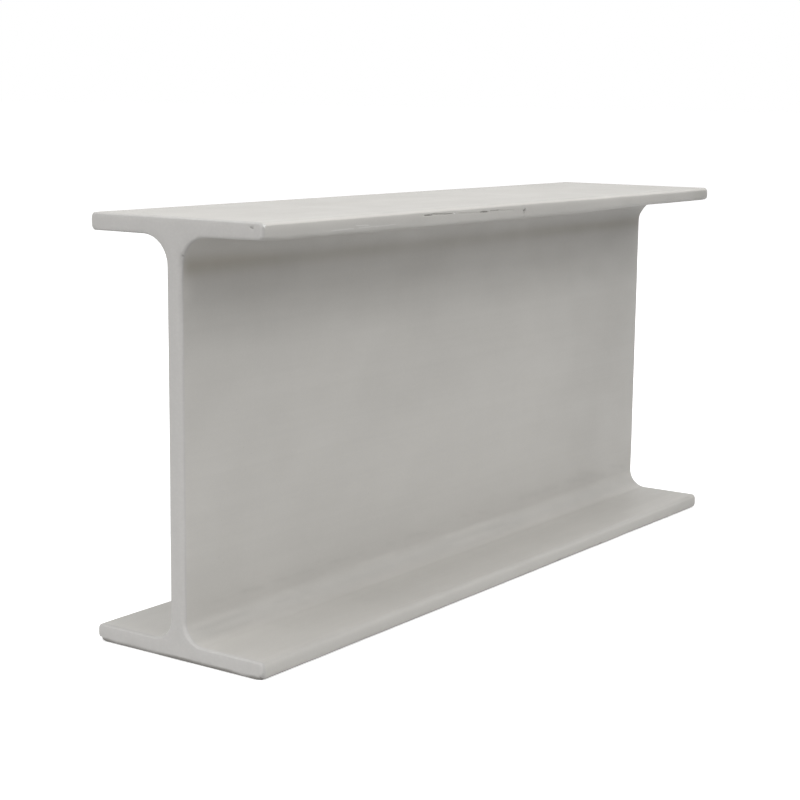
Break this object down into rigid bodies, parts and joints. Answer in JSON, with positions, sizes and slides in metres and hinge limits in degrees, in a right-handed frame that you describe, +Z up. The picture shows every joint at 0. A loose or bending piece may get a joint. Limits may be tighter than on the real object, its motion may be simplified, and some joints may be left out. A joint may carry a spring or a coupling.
{
  "type": "fiberglass i-beam",
  "caption": "Straight cut length of pultruded fiberglass I-beam: a flat web between parallel flanges, with filleted roots and sawn ends, for light structural framing.",
  "frame": {"origin": "middle of the lower flange's underside, at the centre of the length and of the flange width", "axes": "+X along the beam's length, +Y across the flanges, +Z up along the depth of the section, from the lower flange to the upper"},
  "size_m": [0.3238, 0.0762, 0.1524],
  "materials": {
    "fiberglass": "satin"
  },
  "bodies": {
    "root": {"i_beam": "fiberglass"}
  },
  "joints": []
}
